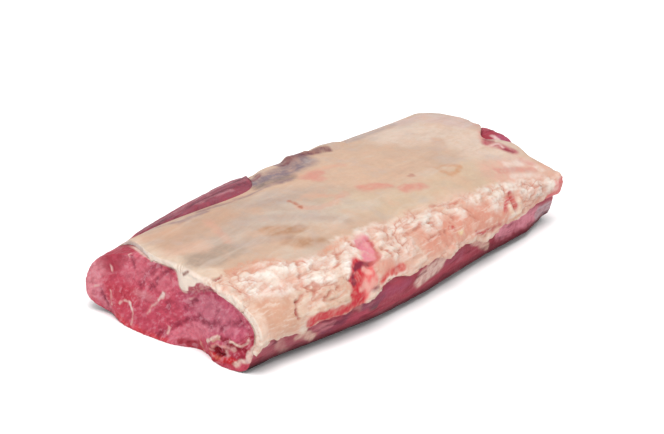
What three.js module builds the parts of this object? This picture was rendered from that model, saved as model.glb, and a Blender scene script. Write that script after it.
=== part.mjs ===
// A boneless pork loin: one slab of lean muscle under its cap of back fat.
// Millimetres, +Z up. The slab rests on Z = 0, +X runs along it from the shown cut end to the far one,
// and -Y is the front, the side that the fat wraps down.

import * as THREE from "three";

const { clamp, euclideanModulo, lerp, smoothstep } = THREE.MathUtils;

// Driving dimensions. Each list holds the value at even stations, from the shown cut to the far one.
const LENGTH = 290;
const FRONT_REACH = [71.6, 86.9, 82.2, 76.3]; // half width towards the front
const BACK_REACH = [70.8, 79.1, 76.3, 68.3]; // half width towards the back
const CROWN = [51.8, 58, 54.6, 51]; // height of the lean
const TOP_FULLNESS = 2.15; // 2 is an ellipse, more is squarer
// Each side is widest at its waist. Below that, pressed is how far the section would sink through the
// floor if weight didn't press it flat: the front is undercut, the back is full.
const FRONT_SIDE = { waist: 25.2, fullness: 1.4, pressed: 52 };
const BACK_SIDE = { waist: 17, fullness: 3.2, pressed: 2.3 };
const SECTION_ARC = 185; // length of half a section's outline, about

// Cut ends
const RIM_ROUND = 0.7; // rounding where a cut face meets the side
const BACK_RIM = { round: 4.5, reach: 0.3 }; // the same at the back, where the soft end slumps
const FLAP_RIM = { round: 3.5, reach: 0.2 }; // the same under the flap of fat
const END_BLEND = 65; // how far in from a cut its unevenness dies out
const UNEVEN = { depth: 1.2, wide: 11, high: 9 }; // waves of a cut face
const FAR_BULGES = [
  { y: 10, z: 40, reach: 67, out: 3.5 }, // the middle of the far cut stands out
  { y: -57, z: 38, reach: 30, out: -9 }, // hollow behind the curled lip
  { y: -62, z: 12, reach: 25, out: 6 }, // and its foot, at the front
];
const NEAR_BULGES = [
  { y: -46, z: 7, reach: 25, out: 3 }, // small side muscle that stands out of the shown cut
  { y: -22, z: 2, reach: 20, out: -6 }, // hollow between it and the main muscle
  { y: 54, z: 0, reach: 17, out: -5 }, // pinch under the back end
];

// Fat cap
const GAP = 0.85; // clearance between fat and lean
const FLAP_FOLD = 1.5; // how far to each side of the flap its fold reaches, in reaches of the flap
const FLAP_GAP = { more: 0.6, reach: 18 }; // what it gains under the flap that folds over the shown cut
const FAT_TOP = 2.6; // thickness over the flat top
const FAT_FRONT = 4.6; // thickness over the front shoulder
const FAT_BACK_EDGE = 0.9; // thickness along the back edge, where only a skin is left
const FAT_FRONT_EDGE = 2.4; // thickness along the torn lower edge
const TAPER = 14; // breadth over which the fat thins towards those edges
const FRONT_EDGE = [19.5, 21.5, 26, 27, 23.5, 18.5, 19.5]; // height of the lower edge
const FRONT_TAIL = { reach: 10, drop: 7 }; // strip of fat that runs on down at the shown cut
const BACK_EDGE = 0.82; // share of the way from front to back, over the top
const CREASE = 0.3; // the same for the fold where crumbly front fat meets the smooth top
const CREASE_BREADTH = 0.05;
const RAGGED = 2.6; // how far the torn lower edge wanders
const LUMPS = { seed: 5, count: 150, reach: [6, 13], height: 2.2 }; // crumbs of the front fat

// Places on the fat cap, as a run along the length and a share from front to back.
const TONGUE = { share: 0.49, around: 0.37, steep: 0.075, reach: 0.15, over: 10.5 }; // flap over the cut
const CORNER = { share: 1, reach: 0.35, back: 16 }; // bare corner at the back of the shown cut
const TRIMMED = [
  { from: 0.03, full: 0.3, until: 0.36, to: 0.5, depth: 0.18 }, // bare muscle along the back shoulder
  { from: 0.48, full: 0.56, until: 0.6, to: 0.7, depth: 0.095 },
];
const SWELL = { out: 2.6, around: 0.77, reach: 0.2 }; // how that bare muscle stands up, level with the fat
const GASH = { foot: 0.37, head: 0.5, top: 0.28, fade: 0.08, breadth: 9, depth: 0.75, rise: 6 }; // front tear
const FAR_NOTCH = { share: 0.42, around: 0.32, reach: 0.13, back: 18 }; // bare spot at the far rim
const LIP = { share: 0.105, reach: 0.115, run: 18, out: [7.2, -3, 0] }; // curl at the far front corner
const END_WANDER = 0.6; // unevenness of the cut ends of the fat
const BACK_WANDER = 0.008; // unevenness of its back edge, as a share
const CREASE_WANDER = 0.025; // unevenness of the fold, as a share

// Mesh density
const SECTION_STEPS = 26; // over the top, and again underneath
const LENGTH_STEPS = 34;
const RIM_STEPS = 3; // on the rounding of a rim
const CAP_LINES = [0.035, 0.17, 0.36, 0.58, 0.8, 0.965]; // across a cut face, from its top to its foot
const FAT_ACROSS = 40;
const FLAP_CLOSENESS = 0.09; // how much closer the columns lie at the flap
const FAT_ALONG = 43;
const FAT_END_LINES = 11; // closer rows where the fat ends at the shown cut
const FAT_END_STEP = 1.6;

const LEAN_COLOUR = 0xb5485c;
const FAT_COLOUR = 0xe2cbb0;

// A smooth value along the length through its stations.
function alongLength(stations, share) {
  const curve = new THREE.SplineCurve(stations.map((value, i) => new THREE.Vector2(i, value)));
  return curve.getPoint(clamp(share, 0, 1)).y;
}

// 1 at the centre, falling smoothly to 0 at the given reach.
function bump(value, centre, reach) {
  const off = Math.abs(value - centre) / reach;
  return off < 1 ? (1 - off * off) ** 2 : 0;
}

// A roll of a few waves, between about -1 and 1, for the unevenness of soft flesh.
function roll(a, b) {
  return (Math.sin(a) + Math.sin(0.63 * a + 1.7 * b + 1.1) + Math.sin(1.9 * b - 0.4 * a + 2.3)) / 3;
}

// Half of a cross-section, from the front to the back: over the top, or underneath.
class HalfSection extends THREE.Curve {
  constructor(share, upper) {
    super();
    this.front = alongLength(FRONT_REACH, share);
    this.back = alongLength(BACK_REACH, share);
    this.crown = alongLength(CROWN, share);
    this.upper = upper;
  }

  getPoint(t, target = new THREE.Vector2()) {
    const turn = Math.PI * t;
    const across = Math.cos(turn);
    const side = across > 0 ? -this.front : this.back;
    const { waist, fullness, pressed } = across > 0 ? FRONT_SIDE : BACK_SIDE;
    const rise = this.upper ? this.crown - waist : -(waist + pressed);
    const power = 2 / (this.upper ? TOP_FULLNESS : fullness);
    const height = waist + rise * Math.max(Math.sin(turn), 0) ** power;
    return target.set(side * Math.abs(across) ** power, Math.max(height, 0));
  }
}

const sections = new Map();

// A point of a whole section: around is 0 at the front, 1 at the back, over the top, and 2 at the front.
function sectionPoint(share, around) {
  const turned = euclideanModulo(around, 2);
  const upper = turned <= 1;
  const key = `${share.toFixed(5)} ${upper}`;
  if (!sections.has(key)) sections.set(key, new HalfSection(share, upper));
  return sections.get(key).getPointAt(upper ? turned : 2 - turned);
}

// How far a cut face stands out from a flat cut, at a place on it.
function endRelief(near, y, z) {
  let out = UNEVEN.depth * roll(y / UNEVEN.wide, z / UNEVEN.high);
  for (const bulge of near ? NEAR_BULGES : FAR_BULGES) {
    out += bulge.out * bump(Math.hypot(y - bulge.y, z - bulge.z), 0, bulge.reach);
  }
  return out;
}

// How bare a trimmed place is, along its run.
function trim(run, bare) {
  const share = run / LENGTH;
  return smoothstep(share, bare.from, bare.full) * (1 - smoothstep(share, bare.until, bare.to));
}

// How far the bare muscle swells out, level with the fat beside it, on the back shoulder and the far rim.
function bareSwell(run, around) {
  const along = Math.max(...TRIMMED.map((bare) => trim(run, bare)));
  const shoulder = along * bump(around, SWELL.around, SWELL.reach);
  const notch = bump(around, FAR_NOTCH.around, 1.6 * FAR_NOTCH.reach);
  const farRim = notch * bump(run, LENGTH, 2 * FAR_NOTCH.back);
  return SWELL.out * Math.max(shoulder, farRim);
}

// Rounding of a rim at a place around the section.
function rimRound(around, near) {
  const turned = euclideanModulo(around, 2);
  const slumped = (BACK_RIM.round - RIM_ROUND) * bump(turned, 1, BACK_RIM.reach);
  const folded = near ? (FLAP_RIM.round - RIM_ROUND) * bump(turned, TONGUE.around, FLAP_RIM.reach) : 0;
  return RIM_ROUND + slumped + folded;
}

// A point on the lean. run is measured over its surface, along its length, from 0 at the shown cut.
// Within the rounding of a rim it follows the arc, and past that it goes in over the cut face.
function leanPoint(run, around) {
  const near = run < LENGTH / 2;
  const depth = near ? run : LENGTH - run;
  const round = rimRound(around, near);
  const turn = clamp(1 - depth / round, 0, Math.PI / 2);
  const inside = turn > 0 ? round * (1 - Math.sin(turn)) : depth;
  const pastRim = Math.max(round * (1 - Math.PI / 2) - depth, 0);
  const inset = round * (1 - Math.cos(turn)) + pastRim;

  const share = (near ? inside : LENGTH - inside) / LENGTH;
  const flat = sectionPoint(share, around);
  const middle = alongLength(CROWN, share) / 2;
  const reach = alongLength(flat.x < 0 ? FRONT_REACH : BACK_REACH, share);
  const y = flat.x * (1 - inset / reach);
  const z = middle + (flat.y - middle) * (1 - inset / middle);

  const out = endRelief(near, y, z) * (1 - smoothstep(inside, 0, END_BLEND));
  const x = LENGTH * (share - 0.5) + (near ? -out : out);
  return new THREE.Vector3(x, y, Math.max(z + bareSwell(run, around), 0));
}

// The outward direction of the lean's surface at a place.
function leanNormal(run, around) {
  const step = 2;
  const turn = step / SECTION_ARC;
  const along = leanPoint(run + step, around).sub(leanPoint(run - step, around));
  const across = leanPoint(run, around + turn).sub(leanPoint(run, around - turn));
  return along.cross(across).normalize();
}

// A closed solid from its points and triangles.
function solid(name, points, triangles, color, roughness) {
  const geometry = new THREE.BufferGeometry().setFromPoints(points);
  geometry.setIndex(triangles);
  geometry.computeVertexNormals();
  const mesh = new THREE.Mesh(geometry, new THREE.MeshStandardMaterial({ color, roughness, metalness: 0 }));
  mesh.name = name;
  return mesh;
}

// The two triangles of a four-sided face, or the one that is left where two corners meet.
function addFace(triangles, a, b, c, d) {
  if (a !== b && b !== c && a !== c) triangles.push(a, b, c);
  if (a !== c && c !== d && a !== d) triangles.push(a, c, d);
}

// Where a ring of the lean lies: a few on the arc of each rim, the rest evenly between.
function ringRun(ring, around) {
  const last = LENGTH_STEPS + 2 * RIM_STEPS;
  const fromEnd = Math.min(ring, last - ring);
  const ends = [rimRound(around, true), rimRound(around, false)];
  if (fromEnd >= RIM_STEPS) return lerp(ends[0], LENGTH - ends[1], (ring - RIM_STEPS) / LENGTH_STEPS);
  const onArc = 1 - (Math.PI / 2) * (1 - fromEnd / RIM_STEPS);
  return ring < last / 2 ? ends[0] * onArc : LENGTH - ends[1] * onArc;
}

// The lean: rings of points from cut to cut, and a cut face of upright columns at each end.
function makeLean() {
  const points = [];
  const triangles = [];
  const ringSize = 2 * SECTION_STEPS;
  const rings = LENGTH_STEPS + 2 * RIM_STEPS + 1;
  for (let ring = 0; ring < rings; ring += 1) {
    for (let i = 0; i < ringSize; i += 1) {
      const around = i / SECTION_STEPS;
      points.push(leanPoint(ringRun(ring, around), around));
    }
  }
  for (let ring = 0; ring + 1 < rings; ring += 1) {
    for (let i = 0; i < ringSize; i += 1) {
      const a = ring * ringSize + i;
      const b = ring * ringSize + ((i + 1) % ringSize);
      addFace(triangles, a, a + ringSize, b + ringSize, b);
    }
  }
  for (const near of [true, false]) addCutFace(points, triangles, near ? 0 : (rings - 1) * ringSize, near);
  return solid("lean", points, triangles, LEAN_COLOUR, 0.45);
}

// One cut face: columns of points from each place on the rim's top down to the one below it.
function addCutFace(points, triangles, firstOfRim, near) {
  const columns = [];
  for (let i = 0; i <= SECTION_STEPS; i += 1) {
    const top = firstOfRim + i;
    const foot = firstOfRim + ((2 * SECTION_STEPS - i) % (2 * SECTION_STEPS));
    const column = [top];
    for (const line of CAP_LINES) {
      if (top === foot) {
        column.push(top);
        continue;
      }
      const place = points[top].clone().lerp(points[foot], line);
      const out = LENGTH / 2 + endRelief(near, place.y, place.z);
      place.x = near ? -out : out;
      column.push(points.length);
      points.push(place);
    }
    columns.push([...column, foot]);
  }
  for (let i = 0; i < SECTION_STEPS; i += 1) {
    for (let row = 0; row <= CAP_LINES.length; row += 1) {
      const corners = [columns[i][row], columns[i][row + 1], columns[i + 1][row + 1], columns[i + 1][row]];
      addFace(triangles, ...(near ? corners.reverse() : corners));
    }
  }
}

// Where the fat's edges lie: its ends as runs for a share from front to back, and its sides as places around.
function nearEnd(share) {
  const side = share > TONGUE.share ? TONGUE.steep : TONGUE.reach;
  const over = TONGUE.over * bump(share, TONGUE.share, side);
  const corner = CORNER.back * bump(share, CORNER.share, CORNER.reach);
  return RIM_ROUND + END_WANDER * roll(23 * share, 3) - over + corner;
}

function farEnd(share) {
  const bare = FAR_NOTCH.back * bump(share, FAR_NOTCH.share, FAR_NOTCH.reach);
  return LENGTH - RIM_ROUND + END_WANDER * roll(19 * share, 5) - bare;
}

function frontEdge(run) {
  const torn = GASH.rise * bump(run, GASH.foot * LENGTH, GASH.breadth);
  const tail = FRONT_TAIL.drop * bump(run, 0, FRONT_TAIL.reach);
  const height = alongLength(FRONT_EDGE, run / LENGTH) + RAGGED * roll(run / 7, run / 31) + torn - tail;
  return (height - FRONT_SIDE.waist) / SECTION_ARC;
}

function backEdge(run) {
  const trimmed = TRIMMED.map((bare) => bare.depth * trim(run, bare));
  return BACK_EDGE - Math.max(...trimmed) + BACK_WANDER * roll(run / 9, run / 17);
}

// The crumbs of the front fat, strewn from a fixed seed over its length and from its lower edge to the fold.
function strewLumps() {
  let state = LUMPS.seed;
  const draw = (low, high) => {
    state = (state * 16807) % 2147483647;
    return lerp(low, high, state / 2147483647);
  };
  return Array.from({ length: LUMPS.count }, () => ({
    run: draw(0, LENGTH),
    across: draw(-10, CREASE * SECTION_ARC + 5),
    reach: draw(...LUMPS.reach),
    height: draw(0.5, 1) * LUMPS.height,
  }));
}

const lumps = strewLumps();

function crumbHeight(run, across) {
  let height = 0;
  for (const lump of lumps) {
    const off = Math.hypot(run - lump.run, across - lump.across);
    height = Math.max(height, lump.height * bump(off, 0, lump.reach));
  }
  return height;
}

// Thickness of the fat at a place.
function fatThickness(run, around) {
  const crease = CREASE + CREASE_WANDER * roll(run / 19, run / 43);
  const crumbly = 1 - smoothstep(around, crease - CREASE_BREADTH / 2, crease + CREASE_BREADTH / 2);
  const crumbs = crumbHeight(run, around * SECTION_ARC) - LUMPS.height / 2;
  const full = lerp(FAT_TOP, FAT_FRONT + crumbs, crumbly);

  const fromFront = smoothstep((around - frontEdge(run)) * SECTION_ARC, 0, TAPER);
  const fromBack = smoothstep((backEdge(run) - around) * SECTION_ARC, 0, TAPER);
  const tapered = lerp(FAT_BACK_EDGE, lerp(FAT_FRONT_EDGE, full, fromFront), fromBack);

  const gash = LENGTH * lerp(GASH.foot, GASH.head, clamp(around / GASH.top, 0, 1));
  const torn = bump(run, gash, GASH.breadth) * (1 - smoothstep(around, GASH.top - GASH.fade, GASH.top));
  return tapered * (1 - GASH.depth * torn);
}

// A place on the fat cap, that thick over the lean. Its end is flush with the shown cut, apart from the
// flap that folds over it, and the far front corner curls away as a lip.
function fatPoint(run, around, share, thickness) {
  const under = bump(run, 0, FLAP_GAP.reach) * bump(share, TONGUE.share, 2 * TONGUE.reach);
  const room = GAP + FLAP_GAP.more * under;
  const outward = leanNormal(run, around);
  outward.x *= Math.sqrt(bump(share, TONGUE.share, FLAP_FOLD * TONGUE.reach));
  const place = leanPoint(run, around).addScaledVector(outward.normalize(), room + thickness);
  const curl = bump(share, LIP.share, LIP.reach) * smoothstep(run, LENGTH - LIP.run, LENGTH) ** 2;
  return place.addScaledVector(new THREE.Vector3(...LIP.out), curl);
}

// Where a column of the fat's grid lies between its front and back edges: closer together at the flap.
function columnShare(even) {
  const turn = 2 * Math.PI;
  const shift = Math.sin(turn * (even - TONGUE.share)) + Math.sin(turn * TONGUE.share);
  return even - FLAP_CLOSENESS * shift;
}

// The fat cap: one grid outside, one on the lean, and a wall round their edges.
function makeFatCap() {
  const points = [];
  const triangles = [];
  const rowSize = FAT_ACROSS + 1;
  const layerSize = rowSize * (FAT_ALONG + 1);
  const closeRun = FAT_END_LINES * FAT_END_STEP;

  for (const outside of [true, false]) {
    for (let i = 0; i <= FAT_ALONG; i += 1) {
      for (let j = 0; j <= FAT_ACROSS; j += 1) {
        const share = columnShare(j / FAT_ACROSS);
        const start = nearEnd(share);
        const rest = (i - FAT_END_LINES) / (FAT_ALONG - FAT_END_LINES);
        const run = rest < 0 ? start + i * FAT_END_STEP : lerp(start + closeRun, farEnd(share), rest);
        const around = lerp(frontEdge(run), BACK_EDGE, share) - (BACK_EDGE - backEdge(run)) * share ** 3;
        points.push(fatPoint(run, around, share, outside ? fatThickness(run, around) : 0));
      }
    }
  }
  const index = (i, j) => i * rowSize + j;
  for (let i = 0; i < FAT_ALONG; i += 1) {
    for (let j = 0; j < FAT_ACROSS; j += 1) {
      const corners = [index(i, j), index(i + 1, j), index(i + 1, j + 1), index(i, j + 1)];
      addFace(triangles, ...corners);
      addFace(triangles, ...corners.map((corner) => corner + layerSize).reverse());
    }
  }
  const rim = [];
  for (let i = 0; i < FAT_ALONG; i += 1) rim.push(index(i, 0));
  for (let j = 0; j < FAT_ACROSS; j += 1) rim.push(index(FAT_ALONG, j));
  for (let i = FAT_ALONG; i > 0; i -= 1) rim.push(index(i, FAT_ACROSS));
  for (let j = FAT_ACROSS; j > 0; j -= 1) rim.push(index(0, j));
  rim.forEach((corner, k) => {
    const next = rim[(k + 1) % rim.length];
    addFace(triangles, corner, corner + layerSize, next + layerSize, next);
  });
  return solid("fat_cap", points, triangles, FAT_COLOUR, 0.55);
}

const loin = new THREE.Group();
loin.add(makeLean(), makeFatCap());

// The origin is under the middle of the whole piece, on the floor.
const box = new THREE.Box3().setFromObject(loin);
const middle = box.getCenter(new THREE.Vector3());
loin.position.set(-middle.x, -middle.y, -box.min.z);

const part = new THREE.Group();
part.add(loin);

export default part;
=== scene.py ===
# %% [markdown]
# # A raw boneless pork loin
# The loin is one block of lean meat under a blanket of fat. Two solids give its real size and shape:
# `lean` and `fat_cap`. This lesson dresses them: each solid is copied, made dense and round, painted by
# strokes that are placed as a photographer would see them, given a relief by Geometry Nodes, and finished
# with a material made only of nodes.

# %% Load the solids
import math

import bmesh
import bpy
import numpy as np
from mathutils import Color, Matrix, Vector, noise
from mathutils.bvhtree import BVHTree


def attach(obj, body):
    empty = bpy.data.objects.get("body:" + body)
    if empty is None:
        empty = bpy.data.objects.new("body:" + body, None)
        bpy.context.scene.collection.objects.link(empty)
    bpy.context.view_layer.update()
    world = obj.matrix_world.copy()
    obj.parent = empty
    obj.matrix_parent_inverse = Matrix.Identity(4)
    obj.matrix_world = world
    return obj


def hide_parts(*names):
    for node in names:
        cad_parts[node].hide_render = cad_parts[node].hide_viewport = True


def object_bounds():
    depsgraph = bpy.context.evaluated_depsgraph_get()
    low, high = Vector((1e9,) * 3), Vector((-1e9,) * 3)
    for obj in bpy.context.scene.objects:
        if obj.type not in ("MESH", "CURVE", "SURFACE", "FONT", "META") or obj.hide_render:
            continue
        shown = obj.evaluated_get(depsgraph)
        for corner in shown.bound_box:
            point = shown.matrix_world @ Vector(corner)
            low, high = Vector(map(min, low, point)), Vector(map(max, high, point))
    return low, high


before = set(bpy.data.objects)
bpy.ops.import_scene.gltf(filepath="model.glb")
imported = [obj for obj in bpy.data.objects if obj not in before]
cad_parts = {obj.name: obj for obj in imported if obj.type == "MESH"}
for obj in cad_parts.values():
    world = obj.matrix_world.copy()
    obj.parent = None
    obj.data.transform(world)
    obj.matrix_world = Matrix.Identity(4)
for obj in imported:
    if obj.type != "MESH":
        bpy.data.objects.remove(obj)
SOLID_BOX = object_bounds()
MM = 0.001
scene = bpy.context.scene
solid_size = [round(side / MM, 1) for side in SOLID_BOX[1] - SOLID_BOX[0]]
print("solids:", sorted(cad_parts), "size in mm:", solid_size)

# %% [markdown]
# ## The camera
# The loin is seen from above its cut end, with a long lens, so its edges stay almost parallel. The camera
# could be placed by eye. Here its angle and distance were fitted to the loin's outline, and the aim is
# a little above the foot of the loin, so that the picture needs no lens shift and other views stay centred.

# %% Camera
PICTURE = (664, 434)
SENSOR = 36.0
FOCAL_PIXELS = 2400.0
TURN = math.radians(-50.13)
RISE = math.radians(25.13)
AWAY = 1530.0 * MM
FOOT_OFF_CENTRE = (-1.9, 49.4)
CLIP_END = 20.0

back = Vector((math.sin(TURN) * math.cos(RISE), -math.cos(TURN) * math.cos(RISE), math.sin(RISE)))
right = Vector((math.cos(TURN), math.sin(TURN), 0.0))
up = back.cross(right)
aim = right * (-FOOT_OFF_CENTRE[0] / FOCAL_PIXELS) + up * (FOOT_OFF_CENTRE[1] / FOCAL_PIXELS) - back
camera = bpy.data.objects.new("camera", bpy.data.cameras.new("camera"))
camera.data.sensor_width = SENSOR
camera.data.lens = SENSOR * FOCAL_PIXELS / PICTURE[0]
camera.data.clip_end = CLIP_END
camera.location = back * AWAY
camera.rotation_mode = "QUATERNION"
camera.rotation_quaternion = aim.to_track_quat("-Z", "Y")
scene.collection.objects.link(camera)
scene.camera = camera
bpy.context.view_layer.update()
print("lens in mm:", round(camera.data.lens, 1), "at", [round(c, 3) for c in camera.location])

# %% [markdown]
# ## The table and the light
# The loin lies on a white table under a large soft lamp, so its shadow is only a dark line where it
# touches the table and a faint grey beside it. A bright even sky does most of the work. One broad lamp,
# high up and before the cut end, gives the top its light and the front its gentle shade. The whole is lit
# more than white needs, as in a shop picture, so that the table stays white close to the meat. The paints
# are darker by the same measure.

# %% Table and light
TABLE_SIDE = 6.0
TABLE_WHITE = (0.93, 0.93, 0.93, 1.0)
BRIGHTER = 1.6
SKY_STRENGTH = 0.58 * BRIGHTER
LAMP_SIDE = 1.4
LAMP_POWER = 38.0 * BRIGHTER
LAMP_PLACE = Vector((-0.9, -0.7, 2.45))

table_mesh = bpy.data.meshes.new("table")
half = TABLE_SIDE / 2
corners = [(-half, -half, 0), (half, -half, 0), (half, half, 0), (-half, half, 0)]
table_mesh.from_pydata(corners, [], [(0, 1, 2, 3)])
table = bpy.data.objects.new("table", table_mesh)
scene.collection.objects.link(table)
table_white = bpy.data.materials.new("table white")
table_white.use_nodes = True
table_shader = table_white.node_tree.nodes["Principled BSDF"]
for name, value in {"Base Color": TABLE_WHITE, "Roughness": 0.7, "Specular IOR Level": 0.1}.items():
    table_shader.inputs[name].default_value = value
table_mesh.materials.append(table_white)

world = bpy.data.worlds.new("soft sky")
world.use_nodes = True
for name, value in {"Color": (1.0, 1.0, 1.0, 1.0), "Strength": SKY_STRENGTH}.items():
    world.node_tree.nodes["Background"].inputs[name].default_value = value
scene.world = world

lamp = bpy.data.objects.new("broad lamp", bpy.data.lights.new("broad lamp", "AREA"))
lamp.data.size = LAMP_SIDE
lamp.data.energy = LAMP_POWER
lamp.location = LAMP_PLACE
lamp.rotation_mode = "QUATERNION"
lamp.rotation_quaternion = (-LAMP_PLACE).to_track_quat("-Z", "Y")
scene.collection.objects.link(lamp)
scene.view_settings.view_transform = "Standard"
print("light: sky", round(SKY_STRENGTH, 2), "and one lamp of", round(LAMP_POWER, 1), "W")

# %% [markdown]
# ## Dense copies of the two solids
# Meat has no facets and no straight edges. The solids are coarse on purpose, so each copy is welded, its
# triangles are joined back into four-sided faces, and two levels of Subdivision Surface round it. After
# that, only what can be seen closely is split further: the fat's outer side, the bare meat and the cut.
# A voxel remesh could do the same, but it would blur the cut's rim.

# %% Weld, join and round
WELD = 0.002 * MM
JOIN_ANGLE = math.radians(50)
SHARP = math.radians(48)
CREASE = 0.75
ROUNDING = 2


def copy_of(node, name):
    """An object with a welded copy of a solid, whose sharp edges are creased a little."""
    solid = node.data
    mesh = bpy.data.meshes.new(name)
    mesh.from_pydata([v.co for v in solid.vertices], [], [list(p.vertices) for p in solid.polygons])
    shell = bmesh.new()
    shell.from_mesh(mesh)
    bmesh.ops.remove_doubles(shell, verts=shell.verts, dist=WELD)
    bmesh.ops.join_triangles(
        shell, faces=shell.faces[:], angle_face_threshold=JOIN_ANGLE, angle_shape_threshold=JOIN_ANGLE)
    crease = shell.edges.layers.float.new("crease_edge")
    for edge in shell.edges:
        if len(edge.link_faces) == 2 and edge.calc_face_angle() > SHARP:
            edge[crease] = CREASE
    shell.to_mesh(mesh)
    shell.free()
    made = bpy.data.objects.new(name, mesh)
    scene.collection.objects.link(made)
    return made


def plain_result(made):
    """Gives an object its modifiers' result as a plain mesh, and removes the modifiers."""
    bpy.context.view_layer.update()
    finished = bpy.data.meshes.new_from_object(made.evaluated_get(bpy.context.evaluated_depsgraph_get()))
    made.modifiers.clear()
    made.data = finished


def round_off(made):
    """Rounds an object by Subdivision Surface."""
    subdivision = made.modifiers.new("rounding", "SUBSURF")
    subdivision.levels = subdivision.render_levels = ROUNDING
    plain_result(made)


lean = copy_of(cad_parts["lean"], "lean_meat")
fat = copy_of(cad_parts["fat_cap"], "fat_blanket")
for piece in (lean, fat):
    quads = sum(len(p.vertices) == 4 for p in piece.data.polygons)
    print(piece.name, "faces", len(piece.data.polygons), "of which four-sided", quads)
    round_off(piece)

# %% Split what is seen closely
OUTER_SPACING = 1.45 * MM
FRONT_SPACING = 0.95 * MM
CUT_SPACING = 0.85 * MM
BARE_SPACING = 1.5 * MM
COVERED_WITHIN = 1.8 * MM
FACES_FRONT = -0.45
FACES_CUT = -0.5
FACES_INWARD = -0.3
FACES_DOWN = -0.75


def tree_of(made):
    """A search tree of an object's faces, for nearest points and sight lines."""
    faces = [list(p.vertices) for p in made.data.polygons]
    return BVHTree.FromPolygons([v.co for v in made.data.vertices], faces)


def split_long(made, wanted, passes):
    """Halves each edge that is longer than `wanted` gives for its face, where 0 keeps the face whole."""
    shell = bmesh.new()
    shell.from_mesh(made.data)
    for _ in range(passes):
        shell.normal_update()
        long_edges = set()
        for face in shell.faces:
            spacing = wanted(face)
            if spacing:
                long_edges.update(e for e in face.edges if e.calc_length() > spacing)
        shell.edges.index_update()
        ordered = sorted(long_edges, key=lambda edge: edge.index)
        bmesh.ops.subdivide_edges(shell, edges=ordered, cuts=1, use_grid_fill=True)
    shell.to_mesh(made.data)
    shell.free()


def fat_spacing(face):
    """The fat's outer side and its rims, and most closely the crumbly front."""
    under = lean_tree.find_nearest(face.calc_center_median())[1]
    if face.normal.dot(under) < FACES_INWARD:
        return 0
    return FRONT_SPACING if face.normal.y < FACES_FRONT else OUTER_SPACING


def lean_spacing(face):
    """The shown cut, and the meat that no fat covers, apart from its underside."""
    if face.normal.x < FACES_CUT:
        return CUT_SPACING
    covered = fat_tree.find_nearest(face.calc_center_median())[3] < COVERED_WITHIN
    return 0 if covered or face.normal.z < FACES_DOWN else BARE_SPACING


def triangles(made):
    """How many triangles an object's faces make."""
    return sum(len(p.vertices) - 2 for p in made.data.polygons)


lean_tree = tree_of(lean)
fat_tree = tree_of(fat)
split_long(fat, fat_spacing, 1)
split_long(lean, lean_spacing, 2)
print("triangles:", {piece.name: triangles(piece) for piece in (lean, fat)})

# %% [markdown]
# ## How the edges lie
# A slab of meat sags under its own weight: its side swells out over the table and the edge below it draws
# in, so a dark line shows there, which painted shade on the lean's lower sides deepens. The fat was trimmed
# by hand. Its lower edge is torn, it clings to the meat, it turns up in a lip at the far corner, and a flap
# of it hangs over the cut. A soft body could be left to settle, but these are the marks of one knife and one
# table, so each is a plain rule that moves points.

# %% Lift the front's lower edge
LIFT = 5.0 * MM
LIFT_DEEP = 11 * MM
LIFT_RUN = (-143 * MM, -128 * MM)
BULGE_HIGH = 15 * MM
BULGE_AT = [-66 * MM, 3 * MM, 71 * MM, 115 * MM, 142 * MM]
BULGES = [1.5 * MM, 5.0 * MM, 5.5 * MM, 8.0 * MM, 2.0 * MM]
BEFORE_THE_FRONT = -1.0


def held(share):
    """A share that is kept between 0 and 1."""
    return min(max(share, 0), 1)


lifted = 0
for vertex in lean.data.vertices:
    x, y, z = vertex.co
    if y > 0 or z > LIFT + BULGE_HIGH:
        continue
    wall = lean_tree.ray_cast(Vector((x, BEFORE_THE_FRONT, LIFT)), Vector((0.0, 1.0, 0.0)))[0]
    if wall:
        inside = max(1 - max(y - wall.y, 0) / LIFT_DEEP, 0)
        share = held((x - LIFT_RUN[0]) / (LIFT_RUN[1] - LIFT_RUN[0]))
        vertex.co.z = max(z, LIFT * share * inside)
        fade = max(1 - max(z - LIFT, 0) / BULGE_HIGH, 0) ** 2
        vertex.co.y -= float(np.interp(x, BULGE_AT, BULGES)) * fade * inside
        lifted += vertex.co.z > z
lean.data.update()
print("points of the lean's lifted edge:", lifted)

# %% Tear the fat's lower edge
TEAR_REACH = 9 * MM
TEAR_WAVES = [(13 * MM, 2.4 * MM), (5 * MM, 1.0 * MM)]
TEAR_CALM = 25 * MM
CALM_ROW = 5.0
FAR_LIFT = 4.5 * MM
FAR_LIFT_AT = 118 * MM
FAR_LIFT_REACH = 45 * MM
EDGE_STEP = 4 * MM

lower_edge = {}
for vertex in fat.data.vertices:
    step = round(vertex.co.x / EDGE_STEP)
    if vertex.co.y < 0:
        lower_edge[step] = min(lower_edge.get(step, 1.0), vertex.co.z)
edge_run = [step * EDGE_STEP for step in sorted(lower_edge)]
edge_high = [lower_edge[step] for step in sorted(lower_edge)]
for vertex in fat.data.vertices:
    above = vertex.co.z - float(np.interp(vertex.co.x, edge_run, edge_high))
    if vertex.co.y < 0 and above < TEAR_REACH:
        wave = sum(reach * noise.noise((vertex.co.x / size, size / MM, 0.0)) for size, reach in TEAR_WAVES)
        wave *= 1 + noise.noise((vertex.co.x / TEAR_CALM, 0.0, CALM_ROW))
        wave += FAR_LIFT * max(1 - ((vertex.co.x - FAR_LIFT_AT) / FAR_LIFT_REACH) ** 2, 0)
        vertex.co.z += wave * (1 - max(above, 0) / TEAR_REACH) ** 2
print("lower edge of the fat in mm:", round(min(edge_high) / MM), "to", round(max(edge_high) / MM))

# %% Press the fat onto the meat
GAP_LEFT = 0.06 * MM
SOLID_GAP = 1.1 * MM
FULL = 3.4 * MM
THINNER = 1.6
FLAP_THINNER = 0.6
END_WALL = -142.6 * MM
END_ZONE = 4 * MM
OVER_RIM = 1.3 * MM
FACES_END = -0.7

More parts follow.
